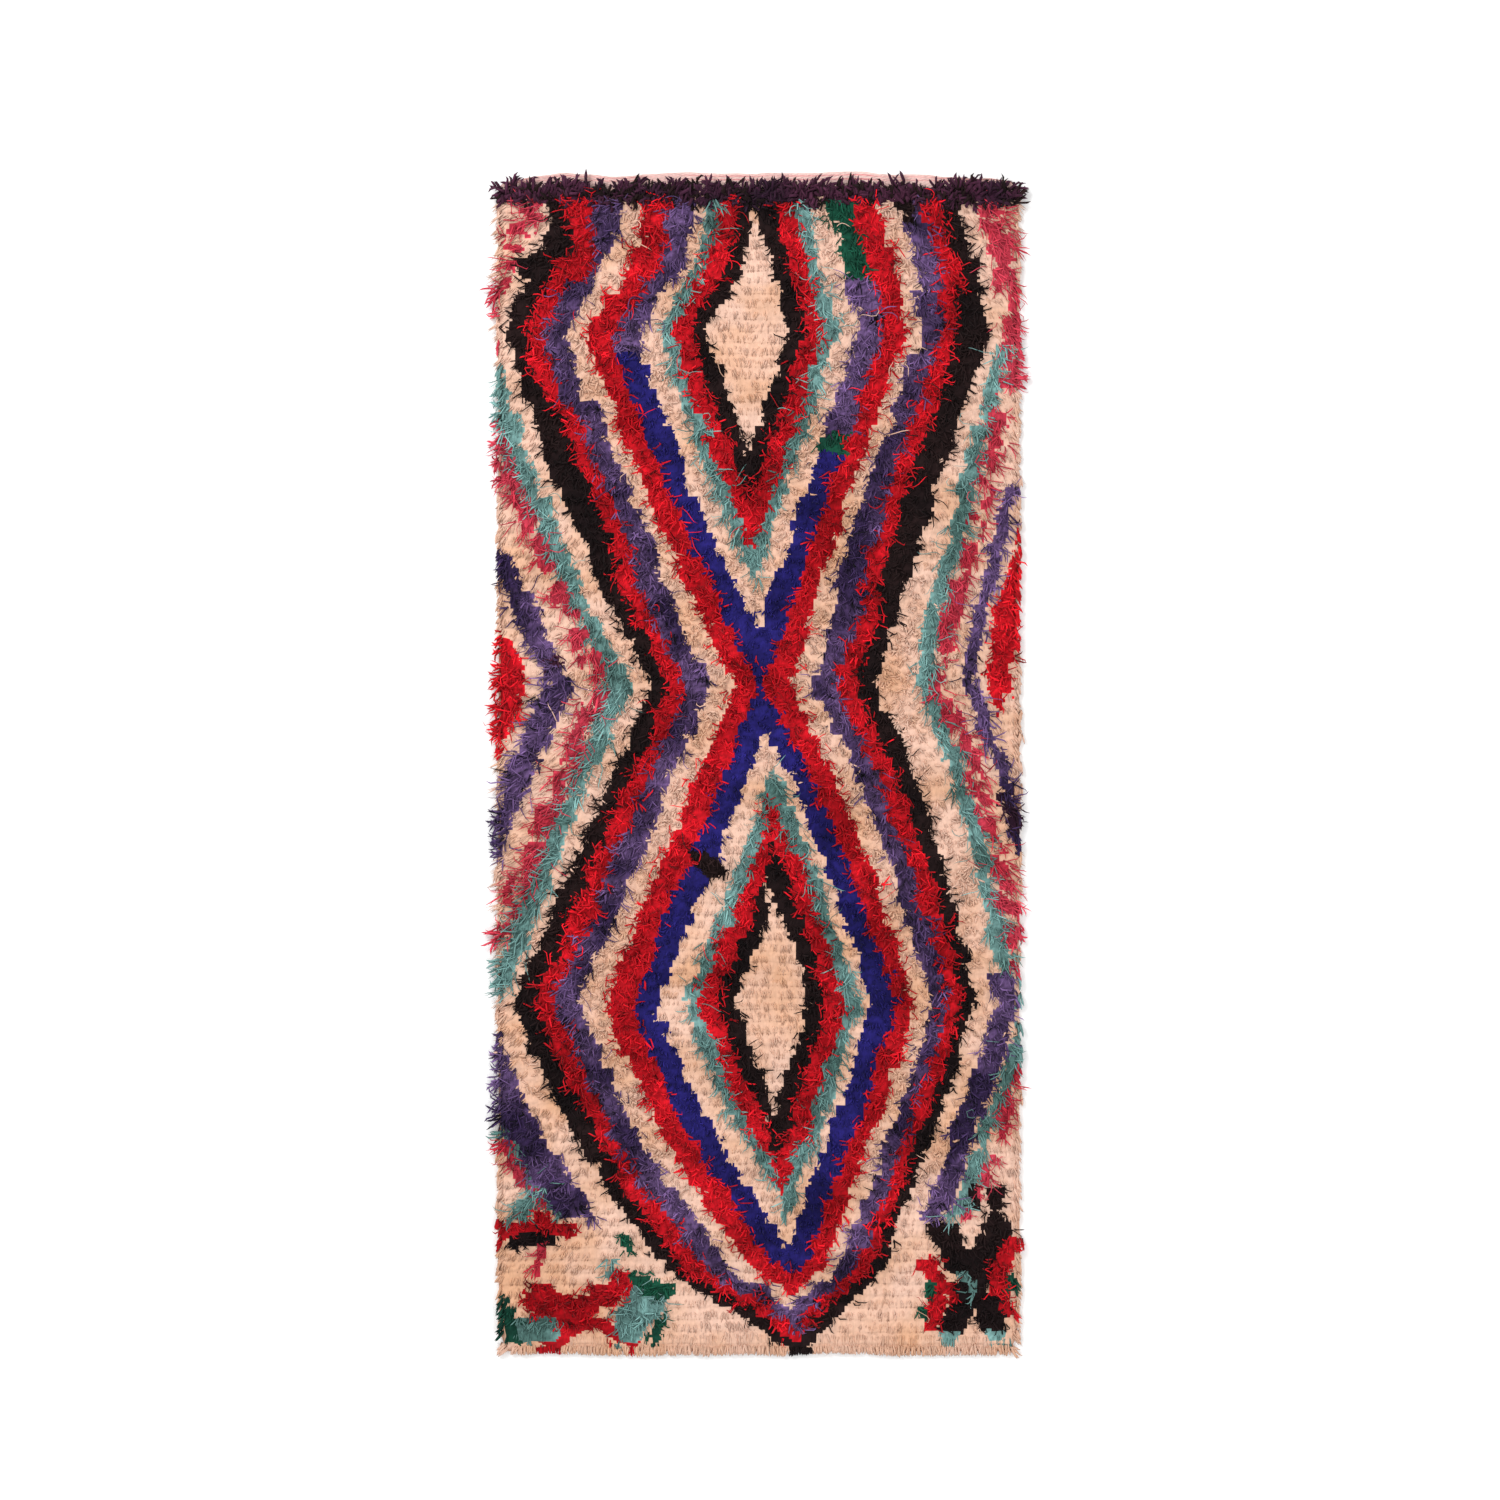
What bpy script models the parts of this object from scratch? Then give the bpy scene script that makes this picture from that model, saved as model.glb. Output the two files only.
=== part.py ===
"""A hand-knotted wool runner with a deep pile, lying flat on the floor.

Units are metres and +Z is up. +Y runs along the rug to its head end, +X to its
right-hand edge, and the origin is on the floor under the rug's middle.
"""
import math
import random
from collections import namedtuple

import bmesh
import bpy
from mathutils import Vector, noise

# Overall sizes
OVERALL_WIDTH = 1.044
OVERALL_LENGTH = 2.255
SLAB_WIDTH = 0.974
SEAM_GAP = 0.0003
GROUND_THICKNESS = 0.004

# The bare flat-woven end that shows past the last knotted row at the head
FLAT_END_DEPTH = 0.042
FLAT_END_STEP = 0.003

# The rows of locks at the rim
BACKING_WIDTH = 0.008
LONGEST_HEAD_LOCK = 0.026
LONGEST_FOOT_LOCK = 0.024
SIDE_LOCKS = 92
END_LOCKS = 56
SIDE_ROW_HEAD = 1.112
LOCK_TAPER = 0.42
LOCK_TIP_HEIGHT = 0.007
ROOT_UNEVENNESS = 0.15
REACH_RANGE = (0.85, 1.2)
TIP_RANGE = (0.8, 1.3)

# The lumps of the pile
CELLS_ACROSS = 40
CELLS_ALONG = 90
LUMP_HEIGHT = 0.004
LUMP_SIZE = 0.11
TUFT_HEIGHT = 0.0035
TUFT_SIZE = 0.035
RIM_SLOPE = 0.045
RIM_HEIGHT = 0.72
SHARP_EDGE = 50

# Places worked out from the sizes
SLAB_SIDE = SLAB_WIDTH / 2
HEAD = OVERALL_LENGTH / 2
PILE_HEAD = HEAD - FLAT_END_DEPTH
PILE_FOOT = -HEAD + LONGEST_FOOT_LOCK + BACKING_WIDTH + SEAM_GAP
LONGEST_SIDE_LOCK = OVERALL_WIDTH / 2 - SLAB_SIDE - SEAM_GAP - BACKING_WIDTH

# A line runs down each side of the nested lozenges, half_width away from their
# axis, and the bands of colour lie side by side along it.
Turn = namedtuple("Turn", "station axis half_width")
LOZENGE_TURNS = (
    Turn(-1.128, 0.073, -0.205),
    Turn(-0.957, 0.073, 0.000),
    Turn(-0.637, 0.016, 0.167),
    Turn(-0.449, 0.009, 0.247),
    Turn(-0.231, 0.028, 0.182),
    Turn(0.174, 0.003, 0.000),
    Turn(0.639, -0.022, 0.190),
    Turn(0.824, -0.006, 0.251),
    Turn(1.128, -0.003, 0.154),
)

# Each band's width and the height of its pile, counted from the line inwards
# and from the line outwards. The last band goes on to the middle or the edge.
Band = namedtuple("Band", "yarn width pile")
INNER_BANDS = (
    Band("blue", 0.051, 0.019),
    Band("cream", 0.036, 0.015),
    Band("turquoise", 0.023, 0.022),
    Band("red", 0.040, 0.025),
    Band("black", 0.030, 0.019),
    Band("cream", 0.060, 0.014),
)
OUTER_BANDS = (
    Band("red", 0.051, 0.025),
    Band("cream", 0.046, 0.016),
    Band("violet", 0.044, 0.024),
    Band("red", 0.038, 0.025),
    Band("black", 0.038, 0.019),
    Band("cream", 0.065, 0.015),
    Band("turquoise", 0.028, 0.022),
    Band("pink", 0.038, 0.024),
    Band("cream", 0.042, 0.015),
    Band("violet", 0.032, 0.022),
    Band("cream", 0.030, 0.015),
    Band("red", 0.040, 0.025),
)

# How far the locks reach past their backing, and how far their tips are swept
# along the edge: towards the head on the sides, to the right on the ends.
Stretch = namedtuple("Stretch", "station reach sweep")
LEFT_EDGE = (
    Stretch(-1.090, 0.009, 0.000),
    Stretch(-0.934, 0.015, -0.004),
    Stretch(-0.782, 0.006, 0.000),
    Stretch(-0.706, 0.020, -0.006),
    Stretch(-0.630, 0.015, -0.004),
    Stretch(-0.478, 0.008, 0.000),
    Stretch(-0.402, 0.011, 0.000),
    Stretch(-0.326, 0.030, -0.006),
    Stretch(-0.250, 0.013, 0.000),
    Stretch(-0.098, 0.017, -0.004),
    Stretch(-0.022, 0.006, 0.000),
    Stretch(0.054, 0.019, -0.005),
    Stretch(0.206, 0.005, 0.000),
    Stretch(0.434, 0.005, 0.000),
    Stretch(0.510, 0.013, -0.003),
    Stretch(0.662, 0.017, -0.004),
    Stretch(0.814, 0.015, -0.003),
    Stretch(0.900, 0.006, 0.000),
    Stretch(1.040, 0.008, 0.000),
    Stretch(1.075, 0.030, 0.003),
    Stretch(1.112, 0.022, 0.016),
)
RIGHT_EDGE = (
    Stretch(-1.090, 0.007, 0.000),
    Stretch(-0.934, 0.009, -0.003),
    Stretch(-0.478, 0.005, 0.000),
    Stretch(-0.326, 0.011, -0.004),
    Stretch(-0.250, 0.005, 0.000),
    Stretch(-0.098, 0.010, -0.003),
    Stretch(0.030, 0.005, 0.000),
    Stretch(0.350, 0.005, 0.000),
    Stretch(0.434, 0.010, -0.004),
    Stretch(0.586, 0.006, 0.000),
    Stretch(0.738, 0.015, -0.004),
    Stretch(0.890, 0.006, 0.000),
    Stretch(1.040, 0.008, 0.000),
    Stretch(1.075, 0.032, 0.003),
    Stretch(1.112, 0.022, 0.016),
)
HEAD_EDGE = (
    Stretch(-0.480, 0.024, 0.000),
    Stretch(-0.300, 0.019, 0.004),
    Stretch(0.000, 0.017, 0.000),
    Stretch(0.300, 0.019, -0.004),
    Stretch(0.480, 0.024, 0.000),
)
FOOT_EDGE = (
    Stretch(-0.490, 0.008, -0.004),
    Stretch(-0.430, 0.022, -0.003),
    Stretch(-0.200, 0.026, 0.002),
    Stretch(0.100, 0.022, 0.000),
    Stretch(0.400, 0.025, 0.003),
    Stretch(0.490, 0.011, 0.004),
)

# The four rows of locks: each backing's middle, its length and height, the way
# it is turned, and the way its edge's stations run along it.
LockRow = namedtuple("LockRow", "name middle turn length locks height edge sense longest colour")
SIDE_MIDDLE = (SIDE_ROW_HEAD + PILE_FOOT) / 2
SIDE_LENGTH = SIDE_ROW_HEAD - PILE_FOOT
LEFT_PLACE = (-SLAB_SIDE - SEAM_GAP, SIDE_MIDDLE, 0.0)
RIGHT_PLACE = (SLAB_SIDE + SEAM_GAP, SIDE_MIDDLE, 0.0)
HEAD_PLACE = (0.0, PILE_HEAD + FLAT_END_STEP + SEAM_GAP, GROUND_THICKNESS + SEAM_GAP)
FOOT_PLACE = (0.0, PILE_FOOT - SEAM_GAP, 0.0)
FOOT_LENGTH = SLAB_WIDTH + 2 * (SEAM_GAP + BACKING_WIDTH)
LOCK_ROWS = (
    LockRow("locks_left", LEFT_PLACE, 90, SIDE_LENGTH, SIDE_LOCKS, 0.017, LEFT_EDGE, 1,
            LONGEST_SIDE_LOCK, (176, 84, 88)),
    LockRow("locks_right", RIGHT_PLACE, -90, SIDE_LENGTH, SIDE_LOCKS, 0.016, RIGHT_EDGE, -1,
            LONGEST_SIDE_LOCK, (187, 34, 43)),
    LockRow("locks_head", HEAD_PLACE, 0, SLAB_WIDTH, END_LOCKS, 0.016, HEAD_EDGE, 1,
            LONGEST_HEAD_LOCK, (58, 30, 41)),
    LockRow("locks_foot", FOOT_PLACE, 180, FOOT_LENGTH, END_LOCKS, 0.014, FOOT_EDGE, -1,
            LONGEST_FOOT_LOCK, (211, 165, 136)),
)
SLAB_COLOUR = (219, 180, 156)


def between(rows, station):
    """The values at a station, read straight between the rows on either side."""
    if station <= rows[0][0]:
        return rows[0][1:]
    for low, high in zip(rows, rows[1:]):
        if station <= high[0]:
            share = (station - low[0]) / (high[0] - low[0])
            return tuple(a + (b - a) * share for a, b in zip(low[1:], high[1:]))
    return rows[-1][1:]


def band_crests():
    """Each band's middle, as a distance from the line, and its pile height."""
    crests = []
    for side, bands in ((-1, INNER_BANDS), (1, OUTER_BANDS)):
        edge = 0.0
        for band in bands:
            crests.append((side * (edge + band.width / 2), band.pile))
            edge += band.width
    return sorted(crests)


CRESTS = band_crests()


def pile_height(x, y):
    """The pile's height: ridges along the bands, lumps, and lower at the rim."""
    axis, half_width = between(LOZENGE_TURNS, y)
    ridge, = between(CRESTS, abs(x - axis) - half_width)
    place = Vector((x, y, 0.0))
    lumps = LUMP_HEIGHT * noise.noise(place / LUMP_SIZE)
    tufts = TUFT_HEIGHT * noise.noise(place / TUFT_SIZE)
    from_rim = min(SLAB_SIDE - abs(x), y - PILE_FOOT, RIM_SLOPE)
    rim = RIM_HEIGHT + (1 - RIM_HEIGHT) * from_rim / RIM_SLOPE
    return rim * ridge + lumps + tufts


def knotted_slab():
    """The ground and its pile as one lumpy slab, with the bare end at the head."""
    bm = bmesh.new()
    bmesh.ops.create_grid(bm, x_segments=CELLS_ACROSS, y_segments=CELLS_ALONG, size=0.5)
    pile_rows = CELLS_ALONG - 2
    row_pitch = (PILE_HEAD - PILE_FOOT) / pile_rows
    for vert in bm.verts:
        row = round((vert.co.y + 0.5) * CELLS_ALONG)
        x = vert.co.x * SLAB_WIDTH
        if row <= pile_rows:
            y = PILE_FOOT + row * row_pitch
            vert.co = (x, y, pile_height(x, y))
        else:
            y = PILE_HEAD + FLAT_END_STEP if row == pile_rows + 1 else HEAD
            vert.co = (x, y, GROUND_THICKNESS)
    rim = [edge for edge in bm.edges if edge.is_boundary]
    skirt = bmesh.ops.extrude_edge_only(bm, edges=rim)["geom"]
    for vert in (item for item in skirt if isinstance(item, bmesh.types.BMVert)):
        vert.co.z = 0.0
    bmesh.ops.holes_fill(bm, edges=[edge for edge in bm.edges if edge.is_boundary])
    return bm


def fringed_bar(row):
    """A backing along X whose outer face, at +Y, stands out as separate locks.

    The locks share only their roots, and lie level on their undersides.
    """
    uneven = random.Random(row.name)
    pitch = row.length / row.locks
    station_middle = row.middle[1] if abs(row.turn) == 90 else row.middle[0]
    bm = bmesh.new()
    bmesh.ops.create_cube(bm, size=1.0)
    lengthwise = [side for side in bm.edges if abs(side.verts[0].co.x - side.verts[1].co.x) > 0.5]
    bmesh.ops.subdivide_edges(bm, edges=lengthwise, cuts=row.locks - 1, use_grid_fill=True)
    outer = [face for face in bm.faces if face.calc_center_median().y > 0.49]
    shifts = [uneven.uniform(-ROOT_UNEVENNESS, ROOT_UNEVENNESS) * pitch for _ in range(row.locks + 1)]
    shifts[0] = 0.0
    shifts[-1] = 0.0
    tops = [row.height * uneven.uniform(1 - ROOT_UNEVENNESS, 1 + ROOT_UNEVENNESS) for _ in shifts]
    for vert in bm.verts:
        cut = round((vert.co.x + 0.5) * row.locks)
        along = vert.co.x * row.length + shifts[cut]
        out = (vert.co.y + 0.5) * BACKING_WIDTH
        vert.co = (along, out, tops[cut] if vert.co.z > 0 else 0.0)
    locks = bmesh.ops.extrude_discrete_faces(bm, faces=outer)["faces"]
    locks.sort(key=lambda lock: lock.calc_center_median().x)
    for lock in locks:
        root = lock.calc_center_median().x
        reach, sweep = between(row.edge, station_middle + root * row.sense)
        reach = min(reach * uneven.uniform(*REACH_RANGE), row.longest)
        tip_height = LOCK_TIP_HEIGHT * uneven.uniform(*TIP_RANGE)
        for vert in lock.verts:
            along = root + (vert.co.x - root) * LOCK_TAPER + sweep * row.sense
            vert.co = (along, BACKING_WIDTH + reach, tip_height if vert.co.z > 0 else 0.0)
    return bm


def wool(name, colour):
    """A matt wool finish from the yarn's colour, given in screen values."""
    material = bpy.data.materials.new(name)
    material.use_nodes = True
    shader = material.node_tree.nodes["Principled BSDF"]
    linear = [((value / 255 + 0.055) / 1.055) ** 2.4 for value in colour]
    shader.inputs["Base Color"].default_value = (*linear, 1.0)
    shader.inputs["Roughness"].default_value = 0.95
    shader.inputs["Metallic"].default_value = 0.0
    return material


def finish(name, bm, colour, collection, rug):
    """Close up the shape and put it on the rug as a named object."""
    bmesh.ops.recalc_face_normals(bm, faces=bm.faces)
    mesh = bpy.data.meshes.new(name)
    bm.to_mesh(mesh)
    bm.free()
    mesh.materials.append(wool(name + "_wool", colour))
    piece = bpy.data.objects.new(name, mesh)
    piece.parent = rug
    collection.objects.link(piece)
    return piece


for leftover in list(bpy.data.objects):
    bpy.data.objects.remove(leftover, do_unlink=True)

rug_collection = bpy.data.collections.new("berber rug")
bpy.context.scene.collection.children.link(rug_collection)
berber_rug = bpy.data.objects.new("berber_rug", None)
rug_collection.objects.link(berber_rug)

slab = finish("rug_body", knotted_slab(), SLAB_COLOUR, rug_collection, berber_rug)
slab.data.shade_smooth()
slab.data.set_sharp_from_angle(angle=math.radians(SHARP_EDGE))

for lock_row in LOCK_ROWS:
    fringe = finish(lock_row.name, fringed_bar(lock_row), lock_row.colour, rug_collection, berber_rug)
    fringe.location = lock_row.middle
    fringe.rotation_euler.z = math.radians(lock_row.turn)
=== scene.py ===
"""A hand-knotted wool runner with a deep pile, lying flat on the floor.

Units are metres and +Z is up. +Y runs along the rug to its head end. Every yarn
end is a closed tube of its own, rooted in the woven cloth.
"""

from collections import namedtuple

import bpy
import numpy as np
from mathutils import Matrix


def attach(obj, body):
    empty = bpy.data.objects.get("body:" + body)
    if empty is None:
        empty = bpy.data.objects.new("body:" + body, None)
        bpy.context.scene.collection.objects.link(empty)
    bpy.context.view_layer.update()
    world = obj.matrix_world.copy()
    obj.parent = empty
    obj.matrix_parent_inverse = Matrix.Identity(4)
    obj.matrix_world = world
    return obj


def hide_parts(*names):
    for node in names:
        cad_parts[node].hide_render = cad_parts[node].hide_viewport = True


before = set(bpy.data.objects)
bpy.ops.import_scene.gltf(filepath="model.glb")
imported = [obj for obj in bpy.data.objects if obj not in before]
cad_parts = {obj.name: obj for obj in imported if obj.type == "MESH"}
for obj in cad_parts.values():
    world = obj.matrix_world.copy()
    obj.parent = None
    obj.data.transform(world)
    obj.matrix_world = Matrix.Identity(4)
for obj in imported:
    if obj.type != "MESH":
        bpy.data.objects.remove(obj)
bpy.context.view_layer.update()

# Ground cloth
# The woollen warps and wefts that carry the pile. It is woven on an upright loom
# from the foot to the head, with a row of knots tied in after every few wefts,
# and each knot shows its own colour on the back of the cloth.
CLOTH_SIDE = 0.4935
CLOTH_FOOT = -1.116
PILE_HEAD = 1.0855
CLOTH_THICKNESS = 0.004
ROW_GAP = 0.0226
FIRST_ROW = 1.0695
LAST_ROW = -1.104
KNOT_GAP = 0.0094
EDGE_WAVE = 0.0025
CORNER_CUT = 0.016
CORNER_REACH = 0.06
KNOT_RIDGE = 0.0006

YARNS = ("cream", "red", "violet", "blue", "black", "turquoise", "pink", "green", "aubergine")

# The weaver's line that the bands follow, from one turn of the nested lozenges to
# the next: how far it bows out on the way to the turn above, and how far the bands
# outside it are spread at each turn.
Turn = namedtuple("Turn", "station left right left_bow right_bow left_spread right_spread")
TURNS = (
    Turn(-1.13, 0.30, -0.14, 0.00, 0.00, 1.00, 1.00),
    Turn(-0.96, 0.04, 0.08, 0.03, 0.01, 1.00, 0.70),
    Turn(-0.45, -0.24, 0.26, 0.00, 0.02, 1.05, 0.70),
    Turn(0.15, 0.00, 0.01, 0.02, 0.00, 0.95, 0.97),
    Turn(0.82, -0.28, 0.24, 0.00, 0.00, 0.95, 0.92),
    Turn(0.94, -0.19, 0.21, 0.00, 0.00, 1.10, 0.96),
    Turn(1.13, -0.16, 0.16, 0.00, 0.00, 0.85, 0.95),
)

# How much wider than stated the innermost cream band is, which moves the bands
# within it by as much
Shift = namedtuple("Shift", "station left right")
INNER_SHIFTS = (
    Shift(-1.13, 0.015, -0.015),
    Shift(-0.01, 0.015, -0.015),
    Shift(0.00, 0.000, 0.000),
    Shift(0.82, 0.005, 0.000),
    Shift(0.94, -0.022, 0.012),
    Shift(1.05, -0.010, 0.000),
)

# The bands of colour, counted from the line inwards and outwards, and then from
# the black band to the edge: in the two corners at the head, along each side of
# the waist, and in the two corners at the foot.
REST = 9.0
Band = namedtuple("Band", "yarn width")
INNER_BLUE = 0.048
INNER_BANDS = (
    Band("cream", 0.036),
    Band("turquoise", 0.026),
    Band("red", 0.036),
    Band("black", 0.033),
    Band("cream", REST),
)
OUTER_BANDS = (
    Band("red", 0.051),
    Band("cream", 0.044),
    Band("violet", 0.046),
    Band("red", 0.038),
    Band("black", 0.038),
)
WIDE_BLACK_BANDS = (
    Band("red", 0.046),
    Band("cream", 0.030),
    Band("violet", 0.048),
    Band("red", 0.032),
    Band("black", 0.061),
)
LEFT_WIDE_BLACK = (0.38, 0.69)
RIGHT_WIDE_BLACK = (0.33, 0.90)
HEAD_CORNER = (Band("cream", 0.032), Band("pink", 0.046), Band("cream", REST))
LEFT_WAIST = (
    Band("turquoise", 0.034),
    Band("pink", 0.040),
    Band("cream", 0.040),
    Band("violet", 0.044),
    Band("cream", 0.038),
    Band("red", REST),
)
RIGHT_WAIST = (
    Band("turquoise", 0.026),
    Band("pink", 0.038),
    Band("cream", 0.022),
    Band("violet", 0.027),
    Band("cream", 0.018),
    Band("red", 0.050),
    Band("cream", REST),
)
LEFT_FOOT = (
    Band("cream", 0.056),
    Band("violet", 0.066),
    Band("turquoise", 0.012),
    Band("pink", 0.030),
    Band("cream", REST),
)
RIGHT_FOOT = (
    Band("cream", 0.038),
    Band("violet", 0.042),
    Band("cream", 0.008),
    Band("turquoise", 0.024),
    Band("pink", 0.028),
    Band("cream", REST),
)
WAIST_HEAD = (0.785, 0.790)
WAIST_FOOT = (-0.440, -0.395)
FOOT_BANDS_END = -0.862
LEFT_RED_MIDDLE = 0.090
LEFT_RED_REACH = 0.145
Margin = namedtuple("Margin", "station left right")
CREAM_MARGINS = (
    Margin(-0.45, 0.02, 0.05),
    Margin(0.10, 0.04, 0.08),
    Margin(0.40, 0.03, 0.05),
    Margin(0.80, 0.03, 0.02),
)

# Where the weaver went on in another yarn within a band
Change = namedtuple("Change", "old new left right foot head")
CHANGES = (
    Change("blue", "violet", -1.0, 0.0, 0.78, 1.13),
    Change("blue", "black", -1.0, 0.0, 0.90, 0.93),
    Change("blue", "green", -1.0, 0.0, 0.78, 0.81),
    Change("blue", "violet", 0.0, 1.0, 0.63, 0.92),
    Change("blue", "green", 0.0, 1.0, 0.59, 0.63),
    Change("blue", "green", 0.0, 1.0, 0.92, 1.13),
    Change("violet", "black", 0.24, 0.30, 1.02, 1.10),
    Change("violet", "cream", -1.0, -0.42, 0.39, 0.54),
    Change("violet", "cream", 0.44, 1.0, 0.52, 0.70),
    Change("red", "cream", 0.46, 1.0, -0.10, 0.13),
)

# The small figures in the foot's corners and the stray patches, each a broad
# stroke of knots from one point to another
Mark = namedtuple("Mark", "yarn start_x start_y end_x end_y width")
STRAY_PATCHES = (
    Mark("red", -0.34, 1.10, -0.35, 0.95, 0.07),
    Mark("black", -0.39, 1.09, -0.37, 0.98, 0.03),
    Mark("black", -0.37, 0.98, -0.44, 0.94, 0.04),
    Mark("black", -0.12, -0.18, -0.08, -0.20, 0.03),
    Mark("aubergine", -0.41, 0.19, -0.38, 0.19, 0.02),
    Mark("aubergine", 0.47, -0.06, 0.49, -0.12, 0.02),
)
LEFT_FIGURE = (
    Mark("turquoise", -0.45, -0.85, -0.43, -0.83, 0.03),
    Mark("red", -0.48, -0.89, -0.42, -0.87, 0.03),
    Mark("red", -0.42, -0.87, -0.36, -0.89, 0.03),
    Mark("black", -0.46, -0.91, -0.40, -0.90, 0.03),
    Mark("pink", -0.41, -0.92, -0.43, -1.00, 0.02),
    Mark("red", -0.42, -1.02, -0.38, -1.03, 0.06),
    Mark("red", -0.37, -1.05, -0.25, -0.98, 0.04),
    Mark("red", -0.34, -1.06, -0.41, -1.11, 0.03),
    Mark("red", -0.32, -1.06, -0.24, -1.10, 0.02),
    Mark("turquoise", -0.45, -1.08, -0.41, -1.07, 0.05),
    Mark("green", -0.48, -1.03, -0.47, -1.09, 0.03),
    Mark("turquoise", -0.25, -1.06, -0.22, -1.02, 0.07),
    Mark("green", -0.23, -0.98, -0.18, -1.00, 0.03),
    Mark("green", -0.18, -1.05, -0.20, -1.09, 0.02),
    Mark("green", -0.25, -0.90, -0.25, -0.92, 0.02),
    Mark("turquoise", -0.27, -0.94, -0.28, -0.97, 0.01),
)
RIGHT_FIGURE = (
    Mark("black", 0.41, -0.82, 0.41, -0.84, 0.03),
    Mark("black", 0.45, -0.82, 0.45, -0.84, 0.03),
    Mark("black", 0.35, -0.89, 0.37, -0.93, 0.05),
    Mark("black", 0.45, -0.88, 0.43, -0.94, 0.05),
    Mark("black", 0.38, -0.94, 0.43, -0.95, 0.06),
    Mark("cream", 0.40, -1.01, 0.42, -1.01, 0.02),
    Mark("black", 0.39, -1.00, 0.37, -1.07, 0.05),
    Mark("black", 0.42, -1.00, 0.45, -1.06, 0.05),
    Mark("turquoise", 0.36, -1.08, 0.38, -1.08, 0.02),
    Mark("turquoise", 0.45, -1.08, 0.47, -1.08, 0.02),
    Mark("turquoise", 0.39, -0.97, 0.41, -0.99, 0.02),
    Mark("red", 0.32, -0.95, 0.37, -1.01, 0.03),
    Mark("red", 0.34, -1.02, 0.33, -1.06, 0.03),
    Mark("red", 0.48, -0.91, 0.46, -0.97, 0.03),
    Mark("red", 0.46, -0.98, 0.47, -1.03, 0.03),
    Mark("green", 0.33, -0.99, 0.33, -1.01, 0.02),
    Mark("green", 0.31, -1.04, 0.32, -1.05, 0.02),
    Mark("green", 0.48, -0.98, 0.48, -0.99, 0.02),
)
MARKS = STRAY_PATCHES + LEFT_FIGURE + RIGHT_FIGURE


def drift(x, y, size, seed):
    """A smooth noise from -1 to 1 that changes over about one size."""
    reach_x, reach_y = 0.7, 1.4
    shape = (int(2 * reach_x / size) + 3, int(2 * reach_y / size) + 3)
    lattice = np.random.default_rng(seed).uniform(-1.0, 1.0, shape)
    across = (np.asarray(x) + reach_x) / size
    up = (np.asarray(y) + reach_y) / size
    column = across.astype(int)
    row = up.astype(int)
    across = across - column
    up = up - row
    across = across * across * (3 - 2 * across)
    up = up * up * (3 - 2 * up)
    lower = lattice[column, row] * (1 - across) + lattice[column + 1, row] * across
    upper = lattice[column, row + 1] * (1 - across) + lattice[column + 1, row + 1] * across
    return lower * (1 - up) + upper * up


def at_station(rows, field, y):
    """Read one column of a table at y."""
    return np.interp(y, [row.station for row in rows], [getattr(row, field) for row in rows])


def weaver_line(y, side):
    """Where the line runs at y on one side: side is -1 on the left and 1 on the right."""
    field = "left" if side < 0 else "right"
    stations = np.array([turn.station for turn in TURNS])
    bows = np.array([getattr(turn, field + "_bow") for turn in TURNS])
    below = np.clip(np.searchsorted(stations, y) - 1, 0, len(TURNS) - 2)
    share = (y - stations[below]) / (stations[below + 1] - stations[below])
    bulge = 4 * np.clip(share * (1 - share), 0.0, 1.0)
    return at_station(TURNS, field, y) + side * bows[below] * bulge


def band_yarn(distance, bands):
    """Which yarn lies at a distance from a row of bands' first edge."""
    edges = np.cumsum([band.width for band in bands])
    which = np.minimum(np.searchsorted(edges, distance), len(bands) - 1)
    return np.array([YARNS.index(band.yarn) for band in bands])[which]


def stroke_distance(x, y, mark):
    """How far each point is from the middle of a stroke."""
    run = np.array([mark.end_x - mark.start_x, mark.end_y - mark.start_y])
    from_start_x = x - mark.start_x
    from_start_y = y - mark.start_y
    share = (from_start_x * run[0] + from_start_y * run[1]) / (run @ run)
    share = np.clip(share, 0.0, 1.0)
    return np.hypot(from_start_x - share * run[0], from_start_y - share * run[1])


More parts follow.
